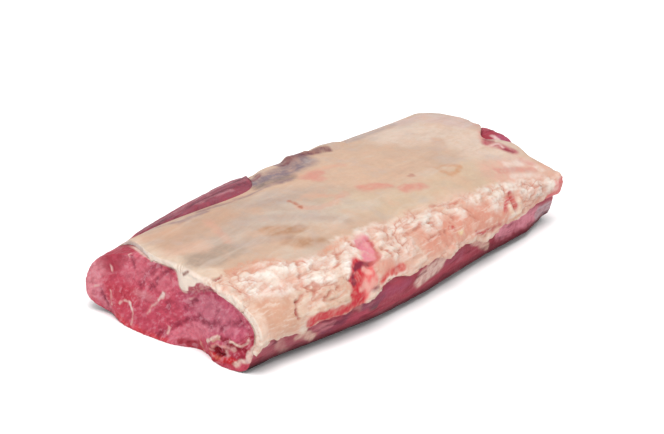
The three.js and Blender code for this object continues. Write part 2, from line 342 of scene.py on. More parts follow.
for vertex in fat.data.vertices:
    met, outward, _, gap = lean_tree.find_nearest(vertex.co)
    at_end = held((END_WALL + END_ZONE - vertex.co.x) / END_ZONE)
    if at_end == 1 and gap < SOLID_GAP and outward.x > FACES_END:
        # The inner edge at the cut is tucked in below the rim of the meat.
        upright = Vector((0.0, outward.y, outward.z)).normalized()
        vertex.co += Vector((-2 * OVER_RIM, 0.0, 0.0)) - upright * (OVER_RIM + gap)
        met, outward, _, gap = lean_tree.find_nearest(vertex.co)
        vertex.co = met + outward * GAP_LEFT
        continue
    # Elsewhere the inner side comes to lie on the meat, and thin fat gets thinner still.
    away = (vertex.co - met).normalized() if gap > SOLID_GAP else outward
    spare = max(gap - SOLID_GAP, 0)
    thick = FULL * (spare / (FULL - SOLID_GAP)) ** THINNER if gap < FULL else gap
    hangs = held(-away.x)
    vertex.co = met + away * (GAP_LEFT + thick + (spare * FLAP_THINNER - thick) * hangs)
    if outward.x > FACES_END:
        vertex.co.x -= OVER_RIM * at_end
fat.data.update()
clinging = sum(lean_tree.find_nearest(v.co)[3] < 2 * GAP_LEFT for v in fat.data.vertices)
print("points of the fat on the meat:", clinging)

# %% Raise the far lip
LIP_AT = Vector((146 * MM, -76 * MM, 31 * MM))
LIP_REACH = 9 * MM
LIP_RAISE = 3.5 * MM


def smooth_step(share):
    """0 below 0, 1 above 1 and a soft bend between."""
    share = np.clip(share, 0, 1)
    return share * share * (3 - 2 * share)


for vertex in fat.data.vertices:
    vertex.co.z += LIP_RAISE * smooth_step(1 - (vertex.co - LIP_AT).length / LIP_REACH)
print("lip raised by up to", round(LIP_RAISE / MM, 1), "mm")

# %% Smooth the folded flap
FLAP_INNER_END = -134 * MM
FLAP_SIDES = (-38 * MM, 6 * MM)
FLAP_PASSES = 6
FLAP_SMOOTHING = 0.5

shell = bmesh.new()
shell.from_mesh(fat.data)
flap = [v for v in shell.verts if v.co.x < FLAP_INNER_END and FLAP_SIDES[0] < v.co.y < FLAP_SIDES[1]
        and lean_tree.find_nearest(v.co)[3] > SOLID_GAP]
for _ in range(FLAP_PASSES):
    bmesh.ops.smooth_vert(
        shell, verts=flap, factor=FLAP_SMOOTHING, use_axis_x=True, use_axis_y=True, use_axis_z=True)
shell.to_mesh(fat.data)
shell.free()
print("points of the flap over the cut:", len(flap))

# %% [markdown]
# ## Strokes that are placed by the picture
# Raw meat has marks that no rule makes: a torn place, veins, a slit, a blush. Each was noted as a few
# points in the picture, in pixels. A sight line from the camera through a pixel meets the piece at one
# place, so the mark then lies on the meat itself and stays there from any side. A stroke colours the
# points near it, or sinks them. Noise shifts the points first and breaks the strokes up, so that no edge
# looks drawn. An image could be wrapped round the meat, but it would smear on the sides that it never saw.

# %% Canvas
STROKE_SEED = 11
RAGGED = [(9.0, 1.6), (3.4, 1.1)]
PATCHES = [4.5, 1.6]
PATCH_LEVEL = 0.75
PATCH_CONTRAST = 1.1
MISS_STEPS = 40
MISS_FROM, MISS_OVER = 0.85, 0.3


def linear(code):
    """A paint that looks like six hexadecimal digits in the picture, as linear red, green and blue."""
    shares = [part / 255 for part in bytes.fromhex(code)]
    return np.array(Color(shares).from_srgb_to_scene_linear()) / BRIGHTER


def shifts(points, size, reach):
    """A smooth random shift for each point, up to about `reach` mm, that changes over `size` mm."""
    return np.array([noise.noise_vector(Vector(p) / size) for p in points]) * reach


def clouds(points, size):
    """A smooth random value for each point, from -1 to 1, that changes over `size` mm."""
    return np.array([noise.noise(Vector(p) / size) for p in points])


class Canvas:
    """The points of one piece in mm, with the colour and the height that strokes leave on them."""

    def __init__(self, made, ground):
        self.made = made
        self.tree = tree_of(made)
        count = len(made.data.vertices)
        flat = np.empty(count * 3, np.float32)
        made.data.vertices.foreach_get("co", flat)
        self.points = flat.reshape(-1, 3).astype(float) / MM
        made.data.vertex_normals.foreach_get("vector", flat)
        self.normals = flat.reshape(-1, 3).astype(float)
        self.ragged = self.points + sum(shifts(self.points, *scale) for scale in RAGGED)
        patches = sum(clouds(self.points, size) for size in PATCHES)
        self.broken = np.clip(PATCH_LEVEL + PATCH_CONTRAST * patches, 0, 1)
        self.colour = np.tile(linear(ground), (count, 1))
        self.height = np.zeros(count)

    def place(self, pixel):
        """Where the sight line through a pixel meets the piece, or comes nearest to it, in mm."""
        across, down = [(pixel[k] - PICTURE[k] / 2) / FOCAL_PIXELS for k in (0, 1)]
        sight = (camera.rotation_quaternion @ Vector((across, -down, -1.0))).normalized()
        met = self.tree.ray_cast(camera.location, sight)[0]
        if met is None:
            steps = [AWAY * (MISS_FROM + MISS_OVER * k / MISS_STEPS) for k in range(MISS_STEPS)]
            found = [self.tree.find_nearest(camera.location + sight * step) for step in steps]
            met = min(found, key=lambda hit: hit[3])[0]
        return np.array(met) / MM

    def near(self, pixels, wide, soft):
        """The points near a stroke, and how far it covers each, from 0 to 1. Wide and soft are in mm."""
        places = [self.place(pixel) for pixel in pixels]
        reach = wide / 2 + soft
        low, high = np.min(places, 0) - reach, np.max(places, 0) + reach
        which = np.flatnonzero(((self.ragged > low) & (self.ragged < high)).all(1))
        points = self.ragged[which]
        gap = np.full(len(which), np.inf)
        for start, end in zip(places, places[1:] or places):
            run = end - start
            along = np.clip((points - start) @ run / max(run @ run, 1e-9), 0, 1)
            gap = np.minimum(gap, np.linalg.norm(points - start - along[:, None] * run, axis=1))
        return which, smooth_step((reach - gap) / soft)

    def tint(self, code, share):
        """Colours every point by its share."""
        share = np.asarray(share)[:, None]
        self.colour = self.colour * (1 - share) + linear(code) * share

    def paint(self, rows, grit=0.9):
        """Rows of strokes: a name, then a colour, a width, a softness, a strength and the strokes themselves.

        Grit is how far patches break the strokes up, from 0 to 1.
        """
        for code, wide, soft, strength, *strokes in rows.values():
            for pixels in strokes:
                which, share = self.near(pixels, wide, soft)
                share = (share * strength * (1 - grit + grit * self.broken[which]))[:, None]
                self.colour[which] = self.colour[which] * (1 - share) + linear(code) * share
        print(self.made.name, "painted:", ", ".join(rows))

    def sink(self, rows, grit=1.0):
        """Rows of strokes that lower the surface: a name, then a depth, a width, a softness and the strokes.

        A depth below 0 raises the surface. All three sizes are in mm.
        """
        for depth, wide, soft, *strokes in rows.values():
            for pixels in strokes:
                which, share = self.near(pixels, wide, soft)
                self.height[which] -= depth * share * (1 - grit + grit * self.broken[which])
        print(self.made.name, "sunk or raised:", ", ".join(rows))

    def keep(self, **values):
        """Stores the colour, the height and any other values on the mesh, for the nodes to read."""
        layer = self.made.data.attributes.new("paint", "FLOAT_COLOR", "POINT")
        opaque = np.c_[self.colour, np.ones(len(self.colour))]
        layer.data.foreach_set("color", opaque.astype(np.float32).ravel())
        for name, value in {"height": self.height, **values}.items():
            layer = self.made.data.attributes.new(name, "FLOAT", "POINT")
            layer.data.foreach_set("value", np.asarray(value, np.float32))


noise.seed_set(STROKE_SEED)
lean_canvas = Canvas(lean, "B43E50")
fat_canvas = Canvas(fat, "D3B29A")
print("points to paint:", len(lean_canvas.points), "lean and", len(fat_canvas.points), "fat")

# %% [markdown]
# ## Painting the fat
# The top of the fat is a dry, smooth skin in beige with faint greys, peach and ochre. The front is broken
# into near-white crumbs with pink cracks, and further along it turns salmon. A line of crest parts the two.
# Broad soft strokes come first, then patches, then the thin marks, as a painter would work. Some strokes are
# also given a depth, because a crack and a tear catch the light.

# %% Where the smooth top ends and the crumbly front begins
CREST = [
    (205, 284), (225, 273), (262, 263), (297, 262), (322, 254), (347, 239), (362, 231), (400, 215),
    (430, 205), (470, 194), (505, 182), (545, 176),
]
CREST_BLUR = 4.0
CUT_EDGE = 12.0
WALL_FROM = 0.35
FACES_OVER = 0.4

crest_places = sorted(tuple(fat_canvas.place(pixel)) for pixel in CREST)
crest_run = [place[0] for place in crest_places]
crest_side = np.interp(fat_canvas.ragged[:, 0], crest_run, [place[1] for place in crest_places])
front = smooth_step(0.5 + (crest_side - fat_canvas.ragged[:, 1]) / (2 * CREST_BLUR))
fat_canvas.tint("EDD3C1", front)
at_cut = fat_canvas.points[:, 0] < fat_canvas.points[:, 0].min() + CUT_EDGE
cut_wall = smooth_step((-fat_canvas.normals[:, 0] - WALL_FROM) / FACES_OVER) * at_cut
print("share of the fat's points on the crumbly front:", round(float(front.mean()), 2))

# %% Broad tints of the top
TOP_FIELDS = {
    "peach middle": ("DDB89D", 36, 26, 0.8, [(300, 178), (350, 165), (385, 175)]),
    "grey before the crest": ("C4AB9A", 26, 20, 0.95, [(215, 232), (262, 212), (320, 200)]),
    # Painted sheen: the far part of the top is painted pale, as the soft sheen on it.
    "painted sheen of the far part": ("E6CDBB", 24, 18, 0.9, [(400, 135), (440, 130), (480, 142), (500, 162)]),
    "pale crest": ("D9BEA2", 18, 14, 0.8, [(345, 202), (385, 205), (420, 197)], [(450, 185), (490, 172)]),
    "rosy far rim": ("DABDB4", 10, 9, 0.9, [(385, 126), (420, 118), (470, 124)]),
    "grey back rim": ("B9A39B", 8, 7, 0.9, [(312, 153), (350, 140), (385, 126)]),
    "cream by the cut": ("EBD2BC", 6, 6, 0.9, [(134, 250), (165, 257), (190, 266), (215, 272)]),
    "grey before the flap": ("B29A88", 9, 9, 0.95, [(197, 260), (212, 258), (230, 250)]),
    "blush by the cut": ("E0B49C", 7, 8, 0.7, [(172, 251), (200, 246)], [(150, 238), (160, 236)]),
    "peach near end": ("CFA68A", 14, 12, 0.8, [(165, 240), (190, 228), (215, 215)]),
}
fat_canvas.paint(TOP_FIELDS, grit=0.3)

# %% Patches and streaks of the top
TOP_MARKS = {
    "ochre streaks": ("B98A68", 5, 6, 0.9, [(270, 231), (298, 229)],
        [(290, 240), (302, 242), (326, 245)]),
    "silver streaks": ("D8C8B8", 2.4, 7, 0.5, [(258, 216), (300, 212), (350, 216)],
        [(262, 222), (300, 220), (340, 224)], [(290, 205), (340, 208), (375, 203)],
        [(325, 248), (305, 252), (290, 254)]),
    "dim streaks": ("BBA398", 2.0, 6, 0.45, [(258, 219), (300, 217), (345, 220)],
        [(250, 205), (280, 200)], [(240, 246), (262, 240), (285, 238)]),
    "lavender membrane": ("8A747C", 8, 10, 1.0, [(256, 182), (272, 177), (288, 170), (302, 162)]),
    "dim membrane": ("75625F", 3, 6, 0.8, [(258, 187), (278, 181), (290, 177)]),
    "dim edge of the membrane": ("927277", 1.6, 3.5, 0.7,
        [(200, 212), (232, 201), (258, 191), (290, 180)], [(148, 231), (180, 222), (205, 212)]),
    "pink thread": ("DDA690", 2.0, 3.5, 0.6, [(207, 221), (217, 231), (229, 241)],
        [(300, 207), (320, 208), (337, 202), (345, 193)],
        [(300, 178), (312, 172), (330, 167), (342, 165)], [(305, 196), (340, 196)]),
    "thin fat by the notch": ("D48A80", 2, 4, 0.8, [(478, 124), (483, 131), (485, 141)]),
    "bare meat by the notch": ("B8485A", 2.5, 4, 0.9, [(487, 143), (498, 146), (514, 152)]),
    "dark meat by the notch": ("98263E", 1.4, 2, 0.9, [(485, 139), (492, 141)], [(504, 149), (513, 153)]),
    "pale threads by the notch": ("F4D0CA", 0.8, 1.6, 0.9, [(489, 146), (495, 144), (503, 147)]),
    "brown nick": ("BE7458", 1.0, 1.4, 1.0, [(289, 201), (294, 204), (300, 207)]),
    "pink spots": ("DB9483", 3.0, 5, 0.9, [(362, 188), (374, 186), (388, 186)],
        [(405, 189), (413, 187), (422, 186)], [(307, 178), (320, 179)], [(313, 175), (318, 173)]),
    "brown spot": ("BE826E", 2, 2, 0.95, [(410, 176), (412, 175)]),
    "ochre ring": ("D19A72", 1.8, 2.4, 0.9,
        [(437, 167), (443, 171), (450, 174), (457, 171), (460, 167), (450, 165), (441, 166)]),
    "faint spots": ("DBB197", 4, 5, 0.8, [(437, 140), (439, 143)], [(475, 128), (480, 128)],
        [(395, 121), (405, 117)]),
}
fat_canvas.paint(TOP_MARKS, grit=0.4)

# %% Fields of the front
FRONT_FIELDS = {
    "peach after the tear": ("EBC3AE", 20, 12, 0.8, [(395, 245), (430, 228), (470, 208)]),
    "salmon": ("E39C86", 12, 9, 1.0, [(432, 241), (455, 229), (482, 217), (506, 213)]),
    "rosy far end": ("E6B3A0", 14, 12, 0.9, [(498, 172), (525, 172), (545, 178)],
        [(518, 203), (540, 195)]),
    "pale far ridges": ("F2DCD0", 1.6, 3, 0.8, [(512, 177), (530, 174), (545, 178)],
        [(505, 164), (525, 161), (541, 170)]),
    "pink far furrows": ("DC9A8C", 1.4, 3, 0.8, [(497, 171), (515, 168), (535, 171)],
        [(522, 160), (532, 164)]),
    "tan": ("DBAA8F", 12, 8, 0.95, [(262, 308), (282, 310), (295, 304)], [(262, 322), (290, 320)]),
    "cream corner": ("F3D5C1", 6, 5, 0.9, [(252, 312), (260, 326), (262, 336)]),
    "cream pillow": ("EAD0BA", 14, 7, 0.9, [(308, 303), (325, 300), (346, 294)]),
    "shaded pillow": ("DCB8A0", 9, 8, 0.7, [(330, 303), (345, 297)]),
}
fat_canvas.paint(FRONT_FIELDS, grit=0.5)
CHALK = [
    [(522, 190), (536, 187)], [(246, 284), (265, 276), (290, 268)], [(250, 293), (290, 288)],
    [(262, 268), (285, 264)], [(306, 280), (330, 278)], [(306, 264), (330, 260)],
    [(347, 244), (353, 256), (347, 270)], [(336, 246), (345, 242)], [(362, 234), (378, 230), (395, 231)],
    [(385, 245), (410, 240)], [(402, 226), (416, 220)], [(424, 224), (436, 214)],
    [(449, 208), (459, 212)], [(470, 200), (476, 199)], [(484, 193), (504, 189)],
    [(495, 203), (500, 202)], [(512, 188), (530, 190), (548, 186)], [(519, 208), (514, 222)],
    [(550, 186), (560, 182)], [(400, 255), (412, 248)], [(384, 262), (394, 262)],
    [(522, 186), (532, 192), (542, 192)], [(428, 228), (434, 222)],
]
FRONT_LIGHTS = {
    "chalk": ("F6E8DC", 5, 5, 0.9, *CHALK),
    "wet cream": ("FBF3EA", 2, 3, 0.8, *CHALK[:7]),
}
fat_canvas.paint(FRONT_LIGHTS)

# %% Cracks, slits and the tear
CRACKS = [
    [(297, 262), (297, 270), (299, 279), (304, 286), (310, 290)],
    [(298, 301), (303, 294), (310, 290), (318, 293), (325, 299)],
    [(338, 255), (338, 264), (333, 269), (322, 270), (312, 268)], [(326, 297), (333, 290), (340, 284)],
    [(297, 262), (306, 262)], [(344, 238), (350, 244), (358, 247), (368, 241)],
    [(430, 240), (438, 234), (446, 232)], [(466, 208), (472, 215), (479, 222)], [(455, 213), (450, 222)],
    [(430, 206), (445, 204), (460, 201)], [(400, 236), (412, 232), (420, 225)],
    [(382, 250), (392, 254), (402, 250)],
]
CREST_LINES = [
    [(225, 271), (250, 263), (272, 259), (294, 262)], [(322, 254), (333, 246), (347, 239)],
    [(228, 275), (262, 268), (275, 264)],
]
SLITS = [
    [(298, 301), (296, 308), (297, 314), (299, 317)], [(334, 283), (342, 279), (352, 279)],
    [(511, 195), (512, 202), (515, 207)], [(205, 284), (213, 279), (223, 273)],
]
FRONT_MARKS = {
    "pink cracks": ("D08672", 0.9, 1.3, 1.0, *CRACKS),
    "orange crest": ("E0A489", 1.6, 2.6, 0.95, *CREST_LINES),
    "red slits": ("AE4038", 0.8, 1.2, 1.0, *SLITS),
    "red dots": ("C83C3C", 1.8, 2, 0.95, [(477, 232), (481, 233)], [(451, 229), (454, 228)]),
    "yellow dot": ("F6E2B0", 2, 1.8, 0.9, [(460, 232), (462, 231)]),
    "orange end": ("EEA67A", 3, 2.5, 0.9, [(511, 223), (518, 215)]),
}
fat_canvas.paint(FRONT_MARKS)
TEAR_MARKS = {
    "pink of the tear": ("E88C9A", 7, 4, 1.0, [(362, 243), (367, 250), (371, 258)]),
    "coral of the tear": ("EC6C6A", 7, 4, 1.0, [(367, 268), (371, 279), (364, 290)]),
    "red of the tear": ("D02034", 7, 3, 1.0, [(358, 266), (357, 280), (358, 294), (359, 304)]),
    "light in the tear": ("F4B8AC", 2, 2, 0.9, [(364, 269), (370, 272)], [(366, 284), (361, 288)],
        [(373, 283), (369, 288)]),
    "dark lines of the tear": ("86203A", 1.6, 1.6, 0.95, [(355, 268), (362, 264), (372, 262)],
        [(354, 274), (355, 284)], [(372, 291), (378, 288)]),
    "red rim of the tear": ("C65450", 1.4, 1.6, 0.9, [(369, 242), (376, 251), (379, 260), (371, 263)]),
    "red band": ("D02A3C", 4, 2.5, 1.0, [(311, 323), (320, 317), (335, 313), (353, 307)]),
    "pink flap": ("E39A84", 5, 4, 0.9, [(383, 268), (391, 263)]),
    "red fold": ("D44A46", 3, 3, 1.0, [(383, 281), (391, 274), (404, 267)]),
    "cream strip": ("F6DED0", 3, 2, 1.0, [(384, 287), (395, 281), (408, 272), (414, 268)]),
    "pink of the lip": ("EE9C98", 3, 3, 0.9, [(547, 199), (553, 192), (557, 184)]),
    "coral lip": ("E06468", 4.5, 2.5, 1.0, [(550, 200), (556, 195), (560, 189), (562, 180)]),
    "red cleft of the far end": ("CC464C", 1.8, 2.4, 0.95, [(511, 194), (513, 200), (516, 206)],
        [(510, 197), (507, 203), (505, 210)]),
    "fold by the cleft": ("FCE8D0", 1.8, 2.0, 0.95, [(519, 202), (521, 208), (517, 215)],
        [(509, 207), (512, 212)]),
    "red line of the far edge": ("C24C50", 0.9, 1.6, 0.9,
        [(476, 234), (486, 230), (494, 227), (501, 224)]),
}
fat_canvas.paint(TEAR_MARKS, grit=0.35)

# %% Depth of the fat's strokes
BACK_EDGE = [(262, 172), (278, 165), (292, 160), (302, 156), (318, 151), (335, 147)]
FAT_BROKEN = {
    "chalk": (-0.7, 5, 5, *CHALK),
    "cracks": (1.1, 0.9, 1.6, *CRACKS),
    "slits": (1.5, 1.0, 1.6, *SLITS),
    "lines of the crest": (0.7, 1.2, 2.0, *CREST_LINES),
    "tear": (0.8, 7, 4, [(360, 246), (364, 262), (360, 280), (357, 302)]),
}
fat_canvas.sink(FAT_BROKEN)
FAT_EVEN = {
    "fold by the cleft": (-0.9, 1.8, 2.4, *TEAR_MARKS["fold by the cleft"][4:]),
    "back edge": (-1.4, 6, 9, BACK_EDGE),
    "far part of the back edge": (-1.6, 5, 8, BACK_EDGE[2:]),
    "middle of the back edge": (-1.5, 4, 6, BACK_EDGE[2:4]),
    "corner of the notch": (1.4, 3, 6, [(476, 122), (481, 127)]),
}
fat_canvas.sink(FAT_EVEN, grit=0)

# %% Where the front is crumbly and flaky
SMOOTH_FRONT = {"tan": (14, 7), "salmon": (10, 7)}
SMOOTHED = 0.75
PLAIN_REDS = [
    "pink of the tear", "coral of the tear", "red of the tear", "red band", "red fold", "pink flap",
    "coral lip",
]
RED_PLAIN = 0.9


def weaken(values, canvas, strokes, wide, soft, part):
    """Lowers values on the points of a canvas by up to a part, near some strokes."""
    for pixels in strokes:
        which, share = canvas.near(pixels, wide, soft)
        values[which] *= 1 - part * share


crumb = front.copy()
flaky = front.copy()
for name, (wide, soft) in SMOOTH_FRONT.items():
    weaken(crumb, fat_canvas, FRONT_FIELDS[name][4:], wide, soft, SMOOTHED)
for name in PLAIN_REDS:
    _, wide, soft, _, *strokes = TEAR_MARKS[name]
    for values in (crumb, flaky):
        weaken(values, fat_canvas, strokes, wide, soft, RED_PLAIN)
print("share of the fat's points that are crumbly:", round(float(crumb.mean()), 2))

# %% Keep the fat's paint
SKIN_FROM = 0.3
SKIN_OVER = 0.9

# The fat's cut end is tinted near white: partly the cream of cut fat, and partly painted light that lifts the
# shade on this wall.
fat_canvas.tint("FBE8D8", cut_wall)
BARE_BACK = {
    "bare back edge": ("6C2A40", 4.5, 2.5, 1.0,
        [(278, 167), (292, 163), (304, 159), (316, 154), (326, 151)]),
    "bare end of the back strip": ("843A48", 5, 2.5, 1.0, [(248, 182), (257, 177)]),
}
fat_canvas.paint(BARE_BACK, grit=0.35)
BESIDE_FLAP = {
    # The wing's edge is painted near white: partly its cream rim, and partly painted light that lifts the
    # shade where it overhangs the meat.
    "cream edge of the wing with painted light": ("FFF6EE", 3.0, 1.5, 1.0, [(125, 243), (133, 245), (140, 251), (148, 257)]),
    "dark spot of the flap": ("84483C", 0.8, 1.4, 0.95, [(184, 274), (187, 273)]),
    "meat beside the flap": ("B2485A", 5.0, 1.2, 1.0, [(193, 294), (202, 291), (210, 289), (217, 296)]),
}
fat_canvas.paint(BESIDE_FLAP, grit=0.3)
over_meat = np.array([lean_tree.find_nearest(Vector(p) * MM)[3] for p in fat_canvas.points]) / MM
skin = smooth_step((over_meat - SKIN_FROM) / SKIN_OVER)
fat_canvas.keep(crumb=crumb, skin=skin, front=front, flaky=flaky)
print("share of the fat's points on its outside:", round(float(skin.mean()), 2))

# %% [markdown]
# ## Painting the lean
# The cut face shows the ends of the muscle's fibres in raspberry pink, with thin pale veins, a darker line
# between two muscles and a small side muscle in its own seam of fat. The sides are older and darker: purple
# red, streaked along the fibres, with pale scraps of membrane. The far cut can't be seen in the picture, so
# noise gives it fields and veins like those of the near one.

# %% The foot in painted shade
FOOT_HIGH = 12.0
FOOT_SOFT = 9.0
ENDS_FROM = 0.3

ends = smooth_step((np.abs(lean_canvas.normals[:, 0]) - ENDS_FROM) / FACES_OVER)
# Painted shade: the lean's lower sides are darkened towards the table, where its drawn-in foot lies in shade.
foot = (1 - ends) * smooth_step((FOOT_HIGH - lean_canvas.points[:, 2]) / FOOT_SOFT)
print("share of the lean's points at its foot in painted shade:", round(float((foot > 0.5).mean()), 2))

# %% The cut face
LOBE_END = -129.0
LOBE_SOFT = 6.0
LOBE_OVER = 36.0
LOBE_PLAIN = 0.85
VEIN_PLAIN = 0.9
CUT_VEIL = 0.05

high = lean_canvas.points[:, 2] > LOBE_OVER
cut = np.maximum(ends, smooth_step((LOBE_END - lean_canvas.points[:, 0]) / LOBE_SOFT) * high)
lean_canvas.tint("D04A60", cut)
CUT_FIELDS = {
    "pale left lobe": ("EA929C", 8, 8, 0.95, [(90, 288), (93, 274), (98, 264)]),
    "mauve lower lobe": ("DE7E8E", 7, 5, 0.9, [(100, 290), (106, 302)]),
    "light upper middle": ("DC7484", 10, 8, 0.8, [(130, 269), (150, 270), (165, 280)]),
    "dark bare lobe": ("A4263C", 12, 8, 0.85, [(108, 258), (117, 252), (128, 249)],
        [(130, 243), (140, 237)]),
    "red patch": ("CE3C50", 8, 7, 0.9, [(113, 295), (132, 296)]),
    "pale dots": ("E29AA0", 2, 4, 0.5, [(137, 293), (150, 297)], [(140, 300), (146, 296)]),
    "smooth middle": ("CC4A62", 18, 12, 0.8, [(150, 322), (178, 316)]),
    "mauve right": ("D0607A", 20, 14, 0.8, [(200, 306), (236, 318)], [(215, 330), (240, 330)]),
    "light foot of the right": ("EA8294", 6, 6, 0.9, [(192, 333), (204, 329)], [(178, 338), (190, 340)]),
    "light flecked right": ("CC7486", 7, 7, 0.7, [(195, 300), (215, 305)], [(205, 318), (228, 322)]),
    "dark right rim": ("BA4A60", 4, 4, 0.8, [(240, 312), (250, 326), (252, 336)]),
    # Painted light: the cut's lower edge is painted brighter red, as light from the white table falls on it.
    "lower edge lit by the table": ("DC4450", 3, 3, 1.0, [(116, 319), (130, 328), (158, 340), (185, 347), (200, 351)]),
    "deep red foot": ("B02C3E", 4, 3, 1.0, [(184, 343), (199, 345)]),
}
lean_canvas.paint(CUT_FIELDS, grit=0.4)
lean_canvas.tint("F4B8C0", CUT_VEIL * cut)
mottled = cut.copy()
_, wide, soft, _, *strokes = CUT_FIELDS["dark bare lobe"]
weaken(mottled, lean_canvas, strokes, wide, soft, LOBE_PLAIN)

# %% Lines and veins of the cut face
DARK_LINES = [
    [(158, 334), (172, 328), (186, 322), (201, 317)], [(203, 322), (210, 325), (218, 322)],
    [(222, 328), (233, 323), (243, 325)], [(140, 285), (150, 272), (158, 262)],
    [(150, 288), (163, 274), (174, 267)], [(160, 265), (167, 259)], [(132, 257), (134, 266)],
    [(166, 312), (170, 303)], [(186, 309), (196, 301)], [(101, 290), (108, 303)],
]
VEINS = [
    [(119, 302), (126, 301), (130, 303), (132, 310), (133, 318), (132, 325)],
    [(146, 315), (150, 309), (152, 305), (158, 301), (163, 298), (166, 292)],
    [(190, 299), (196, 294), (200, 290)], [(168, 334), (169, 327)], [(111, 291), (112, 304)],
    [(111, 266), (112, 273)], [(93, 287), (98, 285)], [(129, 257), (132, 253)],
]
lean_canvas.paint({"dark lines": ("8E2C44", 1.0, 2.6, 0.7, *DARK_LINES)}, grit=0.6)
CUT_VEINS = {
    "veins": ("EDBCB6", 0.7, 1.0, 0.95, *VEINS),
    "bright ends of veins": ("F7DCD4", 0.8, 1.0, 1.0, [(159, 300), (165, 293)], [(130, 303), (132, 310)],
        [(196, 294), (200, 290)]),
}
lean_canvas.paint(CUT_VEINS, grit=0.2)
weaken(mottled, lean_canvas, VEINS, *CUT_VEINS["veins"][1:3], VEIN_PLAIN)
CUT_DEPTHS = {
    "dark lines": (0.6, 1.0, 2.2, *DARK_LINES),
    "veins": (-0.25, 0.8, 1.2, *VEINS),
}
lean_canvas.sink(CUT_DEPTHS)

# %% The small side muscle
SEAM = [[(208, 342), (213, 338), (220, 336)], [(229, 341), (236, 344), (241, 346), (249, 342)]]
FOLDS = [
    [(201, 342), (202, 348), (206, 352)], [(209, 348), (213, 350)], [(213, 347), (218, 346), (225, 347)],
]
HOLE = [(216, 352), (222, 353)]
STRIP = [[(256, 339), (258, 345), (253, 352), (249, 358)], [(248, 361), (240, 362), (236, 366)]]
SIDE_MUSCLE = {
    "red side muscle": ("AE3244", 9, 4, 0.95, [(212, 353), (232, 355), (252, 346)]),
    "bright red foot": ("D23038", 3.5, 2.5, 1.0, [(224, 359), (230, 361), (236, 363)],
        [(208, 355), (222, 360)]),
    "orange rim": ("EA7A66", 1.0, 1.4, 0.9, [(207, 354), (215, 358), (223, 358)]),
    "grey knot": ("D6A69E", 1.8, 1.8, 0.9, [(228, 347), (234, 350)], [(226, 352), (227, 355)]),
    "dark clefts": ("8E1E30", 2.0, 1.8, 0.9, [(238, 349), (247, 350)], [(226, 343), (230, 345)],
        [(223, 338), (228, 338)]),
    "dark hole": ("86121F", 4.0, 2.0, 1.0, HOLE),
    "pink folds": ("E69C94", 0.9, 1.2, 0.95, *FOLDS),
    "cream seam": ("F2D2C2", 0.9, 1.2, 1.0, *SEAM),
    "tan flecks": ("D4AE90", 0.8, 1.0, 0.8, [(214, 341), (220, 339)]),
    "pale strip": ("F2D0C2", 1.4, 1.5, 1.0, *STRIP),
}
lean_canvas.paint(SIDE_MUSCLE, grit=0.35)
SIDE_MUSCLE_DEPTHS = {
    "hole": (2.4, 2.6, 2.5, HOLE),
    "seam, folds and strip": (-0.25, 1.2, 1.8, *SEAM, *FOLDS, *STRIP),
}
lean_canvas.sink(SIDE_MUSCLE_DEPTHS)

# %% The far cut
FAR_FIELDS = 30.0
FIELD_SOFT = 0.4
LIGHT_FIELD, DARK_FIELD, FAR_VEIN = 0.7, 0.6, 0.8
FAR_VEINS = 24.0
VEIN_SHARE = 0.035
UNBROKEN = 0.6

far_cut = smooth_step((lean_canvas.normals[:, 0] - ENDS_FROM) / FACES_OVER)
fields = clouds(lean_canvas.points, FAR_FIELDS)
lean_canvas.tint("DC7484", LIGHT_FIELD * far_cut * smooth_step(fields / FIELD_SOFT))
lean_canvas.tint("A83A50", DARK_FIELD * far_cut * smooth_step(-fields / FIELD_SOFT))
veins = smooth_step(1 - np.abs(clouds(lean_canvas.points, FAR_VEINS)) / VEIN_SHARE)
lean_canvas.tint("EDBCB6", FAR_VEIN * far_cut * veins * (lean_canvas.broken > UNBROKEN))
print("points of the far cut:", int((far_cut > 0.5).sum()))

# %% The front strip under the fat, the back strip and the far notch
DULLED = 0.1
FOOT_SHADE = 0.95

SIDE_FIELDS = {
    "dim near front": ("B05C66", 9, 7, 0.9, [(268, 350), (290, 342), (315, 332)]),
    "rosy scraps": ("D0948E", 3.5, 3, 0.9, [(279, 342), (283, 350)], [(366, 296), (372, 300)],
        [(352, 312), (360, 308)]),
    "grey spot": ("5E4446", 3.5, 2.5, 0.9, [(371, 308), (377, 305)]),
    "deep red stretches": ("9C2238", 5, 4, 0.95, [(446, 258), (458, 252), (470, 245)],
        [(490, 241), (501, 236)], [(408, 289), (416, 279)], [(346, 318), (353, 315)]),
    "magenta stretches": ("AC3C5C", 5, 4, 0.9, [(383, 295), (394, 290)], [(402, 287), (407, 284)]),
    "purple stretches": ("8C3A54", 5, 4, 0.9, [(325, 330), (346, 319)], [(366, 305), (380, 299)]),
    "violet far stretch": ("AE4860", 4, 3, 0.8, [(446, 262), (462, 253)], [(522, 217), (530, 212)]),
    "dark fibres": ("6E2236", 1.4, 2, 0.8, [(262, 346), (275, 343)], [(165, 221), (190, 213)]),
    "back strips": ("964858", 12, 6, 1.0, [(150, 229), (200, 207), (252, 183)],
        [(158, 223), (200, 202), (252, 177)], [(275, 164), (320, 150)]),
    "dark back fibres": ("5A1C30", 1.2, 2.4, 0.7, [(185, 212), (215, 199), (246, 186)],
        [(190, 205), (220, 192), (245, 182)], [(152, 228), (172, 219)]),
    "pale back fibres": ("C08088", 1.0, 1.8, 0.9, [(175, 214), (205, 199), (240, 183)],
        [(200, 207), (232, 193)], [(208, 199), (210, 198)]),
    "red of the notch": ("A82A3C", 5, 3, 1.0, [(484, 140), (497, 136)]),
    "mauve of the notch": ("B65070", 6, 4, 0.95, [(500, 140), (514, 151)]),
    "pale thread of the notch": ("F4CCC8", 2, 1.8, 1.0, [(488, 146), (500, 145), (511, 153)],
        [(493, 138), (498, 142)]),
}
